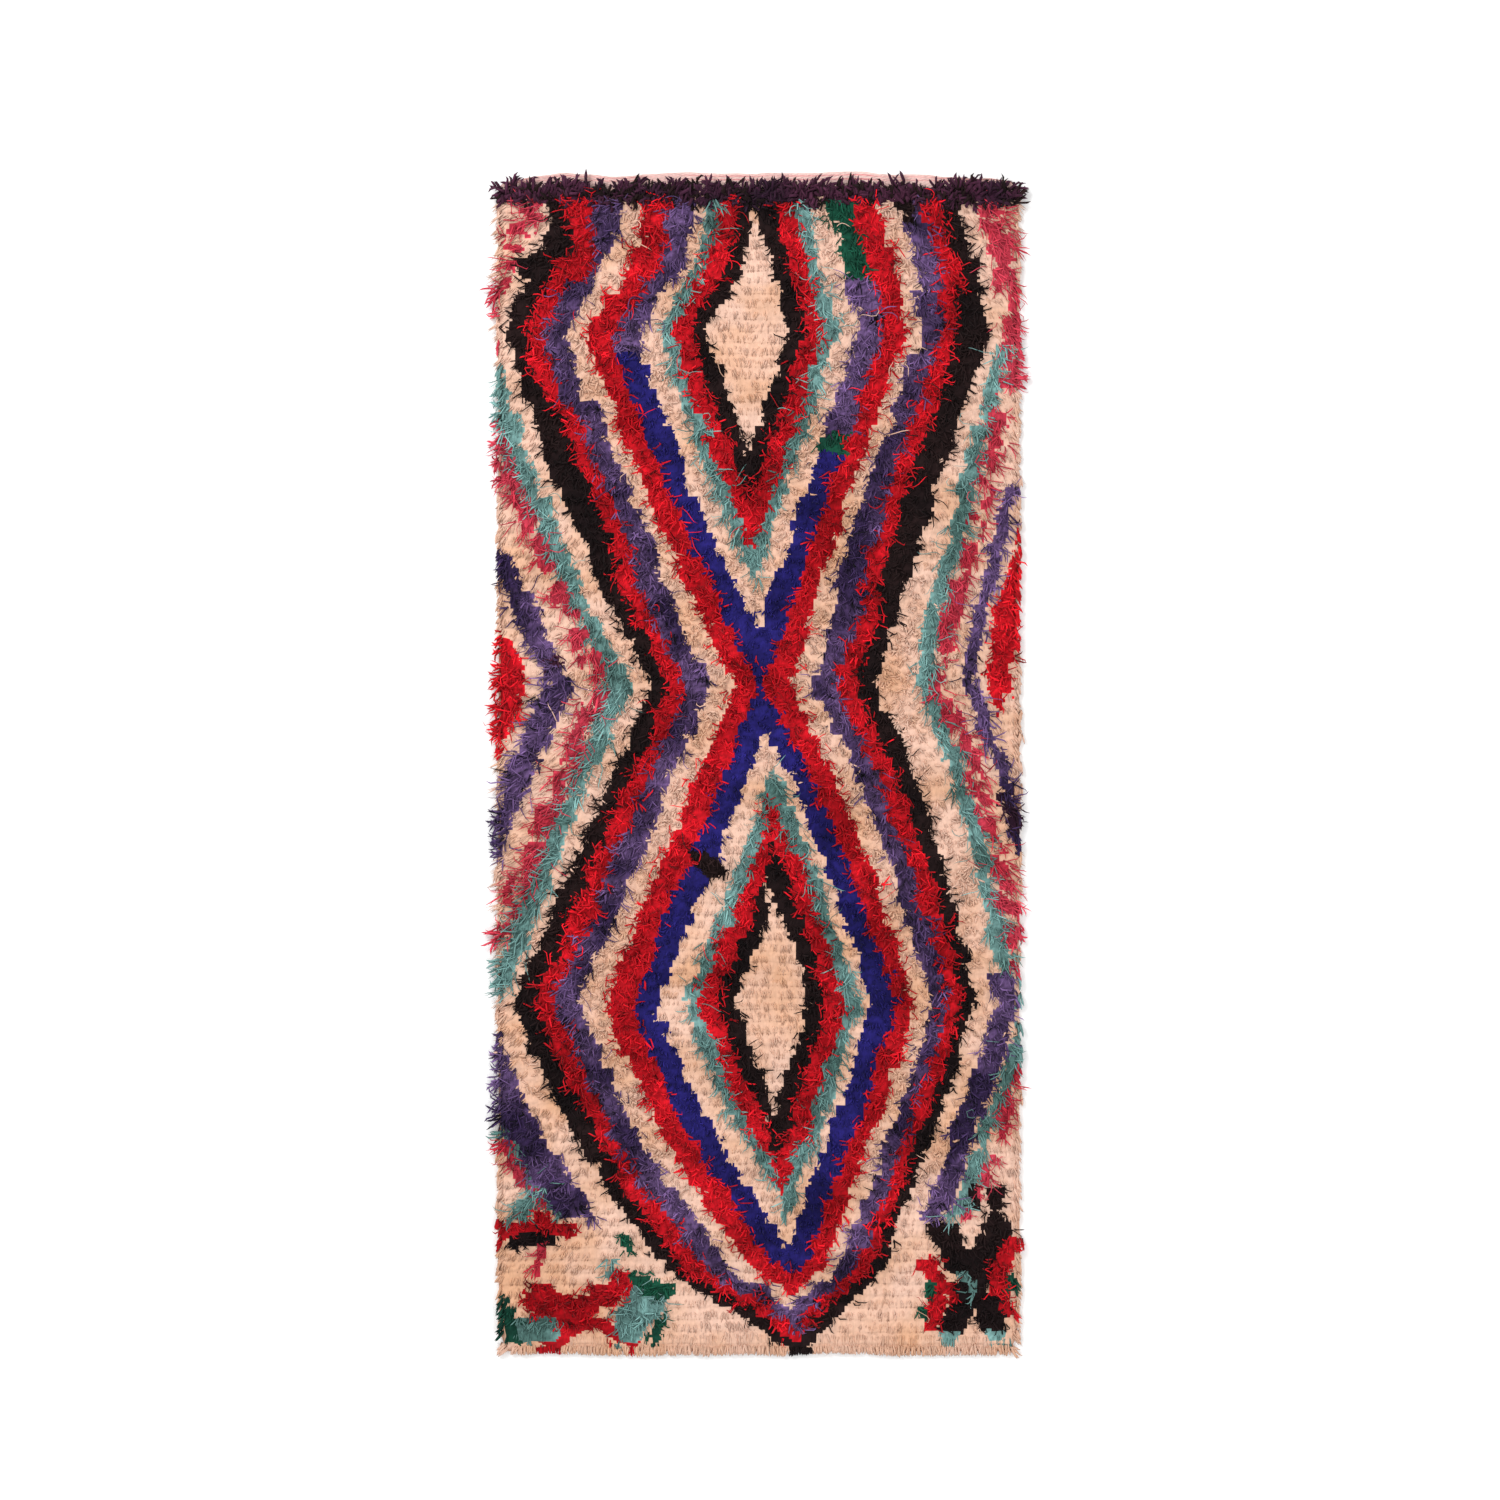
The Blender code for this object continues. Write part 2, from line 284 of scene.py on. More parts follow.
def chart(x, y):
    """Which yarn the weaver ties in at each point of the cloth."""
    left = weaver_line(y, -1)
    right = weaver_line(y, 1)
    on_left = x < (left + right) / 2
    outside = np.where(on_left, left - x, x - right)
    shift = np.where(on_left, at_station(INNER_SHIFTS, "left", y), at_station(INNER_SHIFTS, "right", y))
    cream = YARNS.index("cream")
    inner = band_yarn(-outside - INNER_BLUE - shift, INNER_BANDS)
    inner = np.where(-outside - INNER_BLUE < INNER_BANDS[0].width + shift, cream, inner)
    inner = np.where(-outside < INNER_BLUE, YARNS.index("blue"), inner)

    spread = np.where(on_left, at_station(TURNS, "left_spread", y), at_station(TURNS, "right_spread", y))
    wide = np.where(
        on_left,
        (y > LEFT_WIDE_BLACK[0]) & (y < LEFT_WIDE_BLACK[1]),
        (y > RIGHT_WIDE_BLACK[0]) & (y < RIGHT_WIDE_BLACK[1]),
    )
    outer = band_yarn(outside / spread, OUTER_BANDS)
    outer = np.where(wide, band_yarn(outside / spread, WIDE_BLACK_BANDS), outer)
    beyond = outside - spread * sum(band.width for band in OUTER_BANDS)
    margin_left = at_station(CREAM_MARGINS, "left", y)
    margin_right = at_station(CREAM_MARGINS, "right", y)
    left_side = np.where(beyond < margin_left, cream, band_yarn(beyond - margin_left, LEFT_WAIST))
    no_red = (left_side == YARNS.index("red")) & (np.abs(y - LEFT_RED_MIDDLE) > LEFT_RED_REACH)
    left_side = np.where(no_red, cream, left_side)
    right_side = np.where(beyond < margin_right, cream, band_yarn(beyond - margin_right, RIGHT_WAIST))
    side = np.where(on_left, left_side, right_side)
    head = band_yarn(beyond, HEAD_CORNER)
    foot = np.where(on_left, band_yarn(beyond, LEFT_FOOT), band_yarn(beyond, RIGHT_FOOT))
    foot = np.where(y < FOOT_BANDS_END, cream, foot)
    side_number = np.where(on_left, 0, 1)
    side = np.where(y > np.array(WAIST_HEAD)[side_number], head, side)
    side = np.where(y < np.array(WAIST_FOOT)[side_number], foot, side)
    yarn = np.where(outside < 0, inner, np.where(beyond < 0, outer, side))

    for change in CHANGES:
        here = (x > change.left) & (x < change.right) & (y > change.foot) & (y < change.head)
        here &= yarn == YARNS.index(change.old)
        yarn = np.where(here, YARNS.index(change.new), yarn)
    for mark in MARKS:
        yarn = np.where(stroke_distance(x, y, mark) < mark.width / 2, YARNS.index(mark.yarn), yarn)
    return yarn


# How the chart comes out in wool. The pile falls past its row, a band's edge steps
# from row to row, is ragged and wanders, and gaps in the pink show the cream.
PILE_FALL = 0.009
HEAD_ROW_FOOT = 1.066
HEAD_ROW_WAVE = 0.007
ROW_SHARE = 0.35
RAGGED = 0.0090
RAGGED_SIZE = 0.019
FINE_RAGGED = 0.4 * RAGGED
FINE_SIZE = 0.009
RAGGED_ENDS = 0.006
WANDER = 0.0050
WANDER_SIZE = 0.055
PINK_GAPS = 0.28


def tied_yarn(x, y):
    """The yarn seen at each point, from the row of knots whose pile lies over it."""
    row = np.round((FIRST_ROW - PILE_FALL - y) / ROW_GAP)
    row_y = FIRST_ROW - PILE_FALL - row * ROW_GAP
    seen_y = y + (row_y - y) * ROW_SHARE
    ragged_x = x + RAGGED * drift(x, row_y, RAGGED_SIZE, 42) + FINE_RAGGED * drift(x, y, FINE_SIZE, 44)
    ragged_x = ragged_x + WANDER * drift(x, y, WANDER_SIZE, 49)
    yarn = chart(ragged_x, seen_y + RAGGED_ENDS * drift(x, y, 0.013, 43))
    gap = (yarn == YARNS.index("pink")) & (drift(x * 0.9, seen_y, 0.017, 45) > PINK_GAPS)
    yarn = np.where(gap, YARNS.index("cream"), yarn)
    head_row = HEAD_ROW_FOOT + HEAD_ROW_WAVE * drift(x, np.zeros_like(x), 0.024, 48)
    return np.where(y > head_row, YARNS.index("aubergine"), yarn)


def side_line(y, side):
    """The cloth's edge at y: side is -1 on the left and 1 on the right."""
    wave = EDGE_WAVE * drift(np.full_like(y, 0.5 * side), y, 0.12, 11 + side)
    low = np.clip((CLOTH_FOOT + CORNER_REACH - y) / CORNER_REACH, 0.0, 1.0)
    return side * (CLOTH_SIDE - CORNER_CUT * low * low) + wave


class Value:
    """A number or colour in a material. Sums written with it add the Math nodes."""

    def __init__(self, finish, socket):
        self.finish = finish
        self.socket = socket

    def math(self, operation, first, second):
        return self.finish.node("ShaderNodeMath", {"operation": operation}, {0: first, 1: second})

    def __add__(self, other):
        return self.math("ADD", self, other)

    def __sub__(self, other):
        return self.math("SUBTRACT", self, other)

    def __rsub__(self, other):
        return self.math("SUBTRACT", other, self)

    def __mul__(self, other):
        return self.math("MULTIPLY", self, other)

    def __pow__(self, other):
        return self.math("POWER", self, other)

    __radd__ = __add__
    __rmul__ = __mul__


class Finish:
    """A material in the making, with one method that adds any node."""

    def __init__(self, name):
        self.material = bpy.data.materials.new(name)
        self.material.use_nodes = True
        self.tree = self.material.node_tree
        self.tree.nodes.clear()

    def node(self, kind, settings, sockets, output=0):
        node = self.tree.nodes.new(kind)
        for setting, value in settings.items():
            setattr(node, setting, value)
        for name, value in sockets.items():
            if isinstance(value, Value):
                self.tree.links.new(value.socket, node.inputs[name])
            else:
                node.inputs[name].default_value = value
        return Value(self, node.outputs[output]) if node.outputs else None

    def mix(self, factor, first, second, blend="MIX"):
        settings = {"data_type": "RGBA", "blend_type": blend}
        return self.node("ShaderNodeMix", settings, {0: factor, 6: first, 7: second}, 2)


def linear(red, green, blue):
    """A colour read off in 0 to 255, as Blender's linear colour."""
    shares = [channel / 255 for channel in (red, green, blue)]
    return tuple(((share + 0.055) / 1.055) ** 2.4 for share in shares) + (1.0,)


# A yarn's colour and that of its patches, how far these show, how mottled its
# fibres are, how light the painted shade of the pile leaves its roots, and how much its tufts differ
Dye = namedtuple("Dye", "colour patch patch_share mottle roots tuft sheen")
DYES = {
    "cream": Dye(linear(224, 185, 165), linear(212, 163, 130), 0.60, 0.20, 0.80, 0.10, 0.05),
    "red": Dye(linear(242, 26, 42), linear(178, 8, 22), 0.75, 0.50, 0.14, 0.42, 0.04),
    "violet": Dye(linear(124, 95, 146), linear(58, 41, 80), 1.00, 0.75, 0.16, 0.60, 0.04),
    "blue": Dye(linear(44, 38, 122), linear(24, 20, 78), 0.60, 0.50, 0.26, 0.32, 0.03),
    "black": Dye(linear(40, 26, 26), linear(22, 15, 17), 0.60, 0.45, 0.35, 0.35, 0.02),
    "turquoise": Dye(linear(138, 184, 180), linear(94, 132, 126), 0.90, 0.45, 0.22, 0.34, 0.04),
    "pink": Dye(linear(228, 72, 94), linear(198, 46, 64), 0.80, 0.40, 0.28, 0.30, 0.03),
    "green": Dye(linear(30, 92, 70), linear(18, 56, 46), 0.70, 0.40, 0.30, 0.30, 0.02),
    "aubergine": Dye(linear(80, 40, 62), linear(46, 24, 42), 0.90, 0.50, 0.24, 0.40, 0.03),
}
TWISTS_PER_METRE = 110
FIBRES_PER_METRE = (300.0, 95.0, 200.0)


def wool(name, dye):
    """Spun wool: dyed unevenly, with painted shade darkening its roots between the tufts, twisted and
    matt.
    """
    finish = Finish(name)
    place = finish.node("ShaderNodeTexCoord", {}, {}, "Object")
    tone, warmth, along = [
        finish.node("ShaderNodeAttribute", {"attribute_name": number}, {}, "Fac")
        for number in ("tone", "warmth", "along")
    ]
    strand = finish.node("ShaderNodeUVMap", {"uv_map": "yarn"}, {})
    dye_lot = finish.node("ShaderNodeTexNoise", {}, {"Vector": place, "Scale": 9.0, "Detail": 3.0})
    combed = finish.node(
        "ShaderNodeVectorMath", {"operation": "MULTIPLY"}, {0: place, 1: FIBRES_PER_METRE}
    )
    fibre = finish.node("ShaderNodeTexNoise", {}, {"Vector": combed, "Scale": 1.0, "Detail": 3.0})
    parts = finish.node("ShaderNodeSeparateXYZ", {}, {0: strand})
    length = finish.node("ShaderNodeSeparateXYZ", {}, {0: strand}, 1)
    turn = (parts + length * TWISTS_PER_METRE) * 6.2832
    ply = finish.node("ShaderNodeMath", {"operation": "SINE"}, {0: turn})

    uneven = finish.node(
        "ShaderNodeMapRange", {}, {0: dye_lot, 1: 0.38, 2: 0.62, 3: 0.0, 4: dye.patch_share}
    )
    uneven = finish.node("ShaderNodeClamp", {}, {0: uneven + warmth})
    colour = finish.mix(uneven, dye.colour, dye.patch)
    # Painted shade: the wool is darker from its tip down to its roots, where the pile shades itself
    painted_root_shade = along ** 0.8 * (1 - dye.roots) + dye.roots
    painted_shade_and_tone = painted_root_shade * (1 + tone * dye.tuft + (fibre - 0.5) * dye.mottle * 2 + ply * 0.035)
    shaded = finish.node("ShaderNodeVectorMath", {"operation": "SCALE"}, {0: colour, 3: painted_shade_and_tone})
    relief = ply * 0.2 + fibre
    bump = finish.node("ShaderNodeBump", {}, {"Height": relief, "Strength": 0.5, "Distance": 0.0012})
    roughness = 0.86 + (fibre - 0.5) * 0.14
    shader = finish.node(
        "ShaderNodeBsdfPrincipled",
        {},
        {
            "Base Color": shaded,
            "Roughness": roughness,
            "Normal": bump,
            "Sheen Weight": dye.sheen,
            "Sheen Roughness": 0.6,
            "Specular IOR Level": 0.06,
        },
    )
    finish.node("ShaderNodeOutputMaterial", {}, {"Surface": shader})
    return finish.material


WOOLS = [wool(f"{yarn} wool", DYES[yarn]) for yarn in YARNS]


def new_piece(name, mesh, *nodes, slot):
    """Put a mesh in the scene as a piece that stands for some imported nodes."""
    piece = bpy.data.objects.new(name, mesh)
    bpy.context.scene.collection.objects.link(piece)
    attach(piece, "root")
    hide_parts(*nodes)
    return piece


def fill_mesh(name, points, corners, sizes, slots, smooth):
    """Make a mesh from arrays: points, each face's corners in turn, and their sizes."""
    mesh = bpy.data.meshes.new(name)
    mesh.vertices.add(len(points))
    mesh.vertices.foreach_set("co", points.astype(np.float32).ravel())
    mesh.loops.add(len(corners))
    mesh.loops.foreach_set("vertex_index", corners.astype(np.int32))
    mesh.polygons.add(len(sizes))
    starts = np.concatenate(([0], np.cumsum(sizes)[:-1]))
    mesh.polygons.foreach_set("loop_start", starts.astype(np.int32))
    mesh.polygons.foreach_set("material_index", slots.astype(np.int32))
    mesh.update(calc_edges=True)
    mesh.polygons.foreach_set("use_smooth", np.full(len(sizes), smooth))
    return mesh


def add_number(mesh, name, values):
    """Keep a number on every point, for the material to read."""
    mesh.attributes.new(name, "FLOAT", "POINT").data.foreach_set("value", values.astype(np.float32))


def add_map(mesh, name, places):
    """Keep a flat place on every face corner."""
    mesh.uv_layers.new(name=name).data.foreach_set("uv", places.astype(np.float32).ravel())


def slab(name, shape, place_cells, slots, other_side, smooth):
    """A closed slab: place_cells gives the points of its cells, and its other side is flat."""
    columns, rows = shape
    across, up = np.meshgrid(np.arange(columns + 1), np.arange(rows + 1), indexing="ij")
    face = place_cells(across.ravel(), up.ravel())
    number = np.arange(len(face)).reshape(columns + 1, rows + 1)
    low_left, low_right = number[:-1, :-1], number[1:, :-1]
    high_right, high_left = number[1:, 1:], number[:-1, 1:]
    cells = np.stack([low_left, low_right, high_right, high_left], -1).reshape(-1, 4)
    rim = np.concatenate([number[:, 0], number[-1, 1:], number[-2::-1, -1], number[0, -2:0:-1]])
    other = face[rim]
    other[:, 2] = other_side
    other_rim = np.arange(len(rim)) + len(face)
    rim_faces = np.stack([rim, other_rim, np.roll(other_rim, -1), np.roll(rim, -1)], -1)
    points = np.concatenate([face, other])
    corners = np.concatenate([cells.ravel(), other_rim[::-1], rim_faces.ravel()])
    sizes = np.concatenate([np.full(len(cells), 4), [len(rim)], np.full(len(rim), 4)])
    all_slots = np.concatenate([slots.ravel(), np.full(len(rim) + 1, slots.ravel()[0])])
    mesh = fill_mesh(name, points, corners, sizes, all_slots, smooth)

    span = points[:, :2].max(0) - points[:, :2].min(0)
    flat = (points[:, :2] - points[:, :2].min(0)) / span * 0.98 + 0.01
    cell_map = flat[cells.ravel()] * (1, 0.86)
    other_map = flat[other_rim[::-1]] * (1, 0.08) + (0, 0.87)
    step = np.arange(len(rim)) / len(rim) * 0.98 + 0.01
    wide = 0.8 / len(rim)
    rim_corners = [(step, 0.99), (step, 0.97), (step + wide, 0.97), (step + wide, 0.99)]
    rim_map = np.stack([np.stack([u, np.full_like(u, v)], -1) for u, v in rim_corners], 1)
    add_map(mesh, "OFBake", np.concatenate([cell_map, other_map, rim_map.reshape(-1, 2)]))
    add_map(mesh, "yarn", points[corners][:, :2] * 0.05)
    if other_side > face[0, 2]:
        mesh.flip_normals()
    return mesh


def slab_piece(mesh, along, tone_seed, tone_reach, warmth, materials):
    """Put a slab in the scene as a piece, with its wools and the numbers they read; along sets how much
    painted root shade darkens it.
    """
    count = len(mesh.vertices)
    tone = np.random.default_rng(tone_seed).uniform(-tone_reach, tone_reach, count)
    add_number(mesh, "along", np.broadcast_to(along, count))
    add_number(mesh, "tone", tone)
    add_number(mesh, "warmth", np.broadcast_to(warmth, count))
    for material in materials:
        mesh.materials.append(material)
    return new_piece(mesh.name, mesh, "rug_body", slot="pile")


def within_sides(across, columns, y, inset):
    """Where a share of the way across the cloth lies at y, between its wavy sides."""
    left = side_line(y, -1) + inset
    right = side_line(y, 1) - inset
    return left + (right - left) * across / columns


def cell_yarns(columns, levels):
    """The yarn at the middle of every cell of a grid laid over the cloth."""
    x = ((np.arange(columns) + 0.5) / columns * 2 - 1) * CLOTH_SIDE
    y = (levels[1:] + levels[:-1]) / 2
    return tied_yarn(*np.meshgrid(x, y, indexing="ij"))


cloth_columns = int(round(2 * CLOTH_SIDE / KNOT_GAP))
cloth_levels = np.linspace(CLOTH_FOOT, PILE_HEAD, int(round((PILE_HEAD - CLOTH_FOOT) / ROW_GAP)) + 1)


def cloth_back(across, up):
    """The back of the ground cloth, with a low ridge along each row of knots."""
    y = cloth_levels[up]
    z = KNOT_RIDGE * (up % 2) + KNOT_RIDGE * 0.5 * (across % 2)
    return np.stack([within_sides(across, cloth_columns, y, 0.0), y, z], -1)


cloth_mesh = slab(
    "ground_cloth",
    (cloth_columns, len(cloth_levels) - 1),
    cloth_back,
    cell_yarns(cloth_columns, cloth_levels),
    CLOTH_THICKNESS,
    False,
)
# The cloth lies under the pile, so its wool gets some painted root shade
ground_cloth = slab_piece(cloth_mesh, 0.75, 5, 1.0, 0.0, WOOLS)

# Matted pile
# The lower part of the pile, where the yarn ends stand so close together that
# their wool felts into one mass. It is lumpy in the long yarns, and in the cream
# it lies in flat rows, each over the roots of the next.
MAT_COLUMNS = 168
MAT_INSET = 0.004
ROW_STATIONS = (0.0, 0.10, 0.32, 0.56, 0.80)
ROW_PROFILE = (-1.0, 0.55, 0.45, 0.15, -0.2)
MAT_HEIGHTS = {
    "cream": 0.0118,
    "red": 0.0155,
    "violet": 0.0145,
    "blue": 0.0150,
    "black": 0.0140,
    "turquoise": 0.0135,
    "pink": 0.0135,
    "green": 0.0140,
    "aubergine": 0.0140,
}
MAT_BOTTOM = 0.002
MAT_RIM = 0.014
LUMP_STEP = 0.0021
ROW_STEP = 0.0011
# How light the painted shade under the pile leaves the felted wool, cream and dyed, and how much painted
# shade its hollows and painted light its crests get
CREAM_MAT_PAINTED_LIGHT = 0.78
DYED_MAT_PAINTED_LIGHT = 0.40
CREAM_MAT_PAINTED_RELIEF_SHADE = 70
DYED_MAT_PAINTED_RELIEF_SHADE = 120
LEAST_STEP = 0.002
mat_foot = CLOTH_FOOT + MAT_INSET
row_starts = np.arange(FIRST_ROW + ROW_GAP, CLOTH_FOOT - ROW_GAP, -ROW_GAP)
mat_levels = (row_starts[:, None] + np.array(ROW_STATIONS) * ROW_GAP).ravel()
mat_levels = mat_levels[(mat_levels > mat_foot + LEAST_STEP) & (mat_levels < PILE_HEAD - LEAST_STEP)]
mat_levels = np.sort(np.concatenate([mat_levels, [mat_foot, PILE_HEAD]]))

# Where the cream lies flat: within the lozenges, past a tufted strip that is wider
# towards the head, at the foot, and for the most part along the sides
TUFTED_HEIGHTS = (-0.10, 0.15)
TUFTED_WIDTHS = (0.03, 0.07)
TUFTED_FADE = 0.03
FLAT_FOOT = -0.72
FOOT_FADE = 0.12
FLAT_SIDES = 0.30
SIDES_WANDER = 0.12
SIDES_FADE = 0.10
SIDES_SHARE = 0.85


def lying_flat(x, y):
    """How far the cream pile is worn or clipped flat, from 0 to 1."""
    middle = (weaver_line(y, -1) + weaver_line(y, 1)) / 2
    half = (weaver_line(y, 1) - weaver_line(y, -1)) / 2
    tufted = np.interp(y, TUFTED_HEIGHTS, TUFTED_WIDTHS)
    inside = np.clip((half - np.abs(x - middle) - tufted) / TUFTED_FADE, 0, 1)
    foot = np.clip((FLAT_FOOT - y) / FOOT_FADE, 0, 1)
    sides = np.clip((np.abs(x) - FLAT_SIDES + SIDES_WANDER * drift(x, y, 0.15, 64)) / SIDES_FADE, 0, 1)
    return np.maximum(np.maximum(inside, foot), SIDES_SHARE * sides)


def mat_lump(x, y):
    """The lumps of the felted wool, from -1 to 1."""
    return 0.55 * drift(x, y, 0.011, 61) + 0.25 * drift(x, y, 0.022, 62) + 0.2 * drift(x, y, 0.07, 63)


def mat_relief(x, y):
    """How high the felted wool stands above or below its middle at a point."""
    share = (y - FIRST_ROW) / ROW_GAP % 1.0
    rows = np.interp(share, ROW_STATIONS + (1.0,), ROW_PROFILE + ROW_PROFILE[:1])
    in_rows = lying_flat(x, y) * (tied_yarn(x, y) == YARNS.index("cream"))
    return ROW_STEP * rows * in_rows + LUMP_STEP * mat_lump(x, y) * (1 - 0.8 * in_rows)


def row_waver(x, y):
    """How far a row of knots wanders up or down."""
    return 0.0028 * drift(x, y, 0.07, 41) + 0.0020 * drift(x, y, 0.018, 46)


def mat_top(across, up):
    """The top of the felted wool."""
    y = mat_levels[up]
    x = within_sides(across, MAT_COLUMNS, y, MAT_INSET)
    heights = np.array([MAT_HEIGHTS[yarn] for yarn in YARNS])
    around = ((0.0, 0.0), (0.006, 0.0), (-0.006, 0.0), (0.0, 0.006))
    z = sum(heights[tied_yarn(x + right, y + ahead)] for right, ahead in around) / len(around)
    rim = np.minimum(np.minimum(x - side_line(y, -1), side_line(y, 1) - x), y - CLOTH_FOOT)
    rim = np.clip(rim / MAT_RIM, 0.0, 1.0) ** 0.6
    z = CLOTH_THICKNESS + (z - CLOTH_THICKNESS + mat_relief(x, y)) * rim
    inside = (up > 0) & (up < len(mat_levels) - 1)
    return np.stack([x, y + row_waver(x, y) * inside, z], -1)


def wool_warmth(x, y):
    """How yellow the undyed wool is: it changes over the rug and from row to row."""
    slow = 0.25 * drift(x, y, 0.20, 51) - 0.12 * y
    return slow + 0.35 * drift(x * 0.3, y, 0.05, 52) + 0.20 * drift(x * 0.5, y, 0.02, 53)


mat_mesh = slab(
    "matted_pile",
    (MAT_COLUMNS, len(mat_levels) - 1),
    mat_top,
    cell_yarns(MAT_COLUMNS, mat_levels),
    MAT_BOTTOM,
    True,
)
mat_points = np.empty(len(mat_mesh.vertices) * 3, np.float32)
mat_mesh.vertices.foreach_get("co", mat_points)
mat_x, mat_y = mat_points.reshape(-1, 3).T[:2].astype(float)
mat_cream = tied_yarn(mat_x, mat_y) == YARNS.index("cream")
# Painted shade: the felted wool is darker than the pile's tips, the dyed wool more so, darker still in its
# hollows and lighter on its crests
mat_painted_shade = np.where(mat_cream, CREAM_MAT_PAINTED_LIGHT, DYED_MAT_PAINTED_LIGHT)
mat_painted_relief_shade = np.where(mat_cream, CREAM_MAT_PAINTED_RELIEF_SHADE, DYED_MAT_PAINTED_RELIEF_SHADE)
mat_painted_shade += mat_painted_relief_shade * mat_relief(mat_x, mat_y - row_waver(mat_x, mat_y))
mat_painted_shade = np.clip(mat_painted_shade, 0.05, 1.0)
matted_pile = slab_piece(mat_mesh, mat_painted_shade, 8, 0.8, wool_warmth(mat_x, mat_y), WOOLS)

# Flat-woven end
# The bare strip past the last row of knots at the head, in pale pink wool beaten
# down over the warps, with two wefts of rose.
HEAD = 1.1275
WARP_GAP = 0.0076
WEFT_GAP = 0.0026
WEFT_RISE = 0.0011
END_THICKNESS = 0.0034
ROSE_WEFTS = (10, 13)
END_TAPER = 0.020
END_SAG = 0.010
end_columns = int(round(2 * CLOTH_SIDE / (WARP_GAP / 2)))
end_wefts = int(round((HEAD - PILE_HEAD) / WEFT_GAP))


def flat_end_top(across, up):
    """Each weft crosses over one warp and under the next, and the end pulls in unevenly."""
    share = up / (2 * end_wefts)
    side = 2 * across / end_columns - 1
    x = side * (CLOTH_SIDE - END_TAPER * share ** 2)
    pull = 0.45 + 0.45 * drift(x, np.zeros_like(x), 0.11, 21) + 0.2 * drift(x, np.zeros_like(x), 0.03, 22)
    sag = END_SAG * (pull + 1.2 * side ** 6) * share ** 2
    y = PILE_HEAD + (HEAD - PILE_HEAD) * share - 0.0029 - sag
    over = np.where((across + up // 2 * 2) % 4 < 2, 1.0, 0.35)
    crown = np.where(up % 2 == 1, 1.0, 0.15)
    z = END_THICKNESS - WEFT_RISE + WEFT_RISE * over * crown
    return np.stack([x, y, z], -1)


weft_number = np.arange(2 * end_wefts) // 2
rose = np.isin(weft_number, ROSE_WEFTS)
end_slots = np.tile(np.where(rose, 1, 0), (end_columns, 1))
end_mesh = slab("flat_woven_end", (end_columns, 2 * end_wefts), flat_end_top, end_slots, 0.0, False)
PALE_PINK = Dye(linear(240, 208, 201), linear(226, 188, 182), 0.70, 0.15, 0.4, 0.10, 0.05)
ROSE = Dye(linear(222, 140, 142), linear(236, 196, 190), 0.95, 0.20, 0.4, 0.15, 0.05)
weft_wools = [wool("pale pink weft", PALE_PINK), wool("rose weft", ROSE)]
flat_end = slab_piece(end_mesh, 0.9, 6, 1.0, 0.0, weft_wools)

# Cream pile
# Undyed wool, one thick soft yarn with little twist. Its ends are clipped short
# and stand up as round knobs in the bands, and lie down flatter in the middles of
# the lozenges and at the foot.
ROOT_HEIGHT = 0.0032
EDGE_KNOTS = 0.013

knot_rows = np.arange(FIRST_ROW, LAST_ROW, -ROW_GAP)
Knots = namedtuple("Knots", "x y yarn lean flat edge")

# How far the pile leans outwards at the left and the right side
LEAN_HEIGHTS = (-1.10, -0.85, -0.60, -0.45, -0.10, 0.10, 0.20, 0.50, 0.75, 0.85, 1.10)
LEFT_LEAN = (0.10, 0.50, 0.90, 1.50, 2.00, 1.90, 0.60, 0.60, 0.80, 1.60, 1.80)
RIGHT_LEAN = (0.05, 0.15, 0.30, 0.60, 0.90, 0.70, 0.30, 0.40, 0.50, 0.90, 1.30)


def lean_sideways(x, y):
    """How far the pile leans to the side, as a share of how far it leans to the foot."""
    edge = np.clip(np.abs(x) / CLOTH_SIDE, 0, 1)
    side = np.where(x < 0, -np.interp(y, LEAN_HEIGHTS, LEFT_LEAN), np.interp(y, LEAN_HEIGHTS, RIGHT_LEAN))
    return side * edge ** 1.5 + 0.25 * drift(x, y, 0.16, 31) + 0.20 * drift(x, y, 0.05, 32)


def tie_knots():
    """Every knot of the pile: its place, yarn, lean, and whether its ends lie flat."""
    random = np.random.default_rng(7)
    places = []
    for row_number, row_y in enumerate(knot_rows):
        y = np.full(int(2 * CLOTH_SIDE / KNOT_GAP), row_y)
        share = (np.arange(len(y)) + 0.5 + 0.5 * (row_number % 2) - 0.25) / len(y)
        left, right = side_line(y, -1), side_line(y, 1)
        x = left + (right - left) * share
        places.append(np.stack([x, y], -1))
    x, y = np.concatenate(places).T
    x = x + random.normal(0, 0.0014, len(x))
    lean = lean_sideways(x, y)
    yarn = tied_yarn(x + 0.008 * lean, y - PILE_FALL)
    flat = (yarn == YARNS.index("cream")) & (random.uniform(0.15, 0.85, len(x)) < lying_flat(x, y))
    y = y + row_waver(x, y) + random.normal(0, 0.0008, len(x))
    y = y + np.where(flat, 0.0, random.uniform(-0.38, 0.38, len(x)) * ROW_GAP)
    edge = np.minimum(x - side_line(y, -1), side_line(y, 1) - x)
    return Knots(x, y, yarn, lean, flat, edge)


knots = tie_knots()


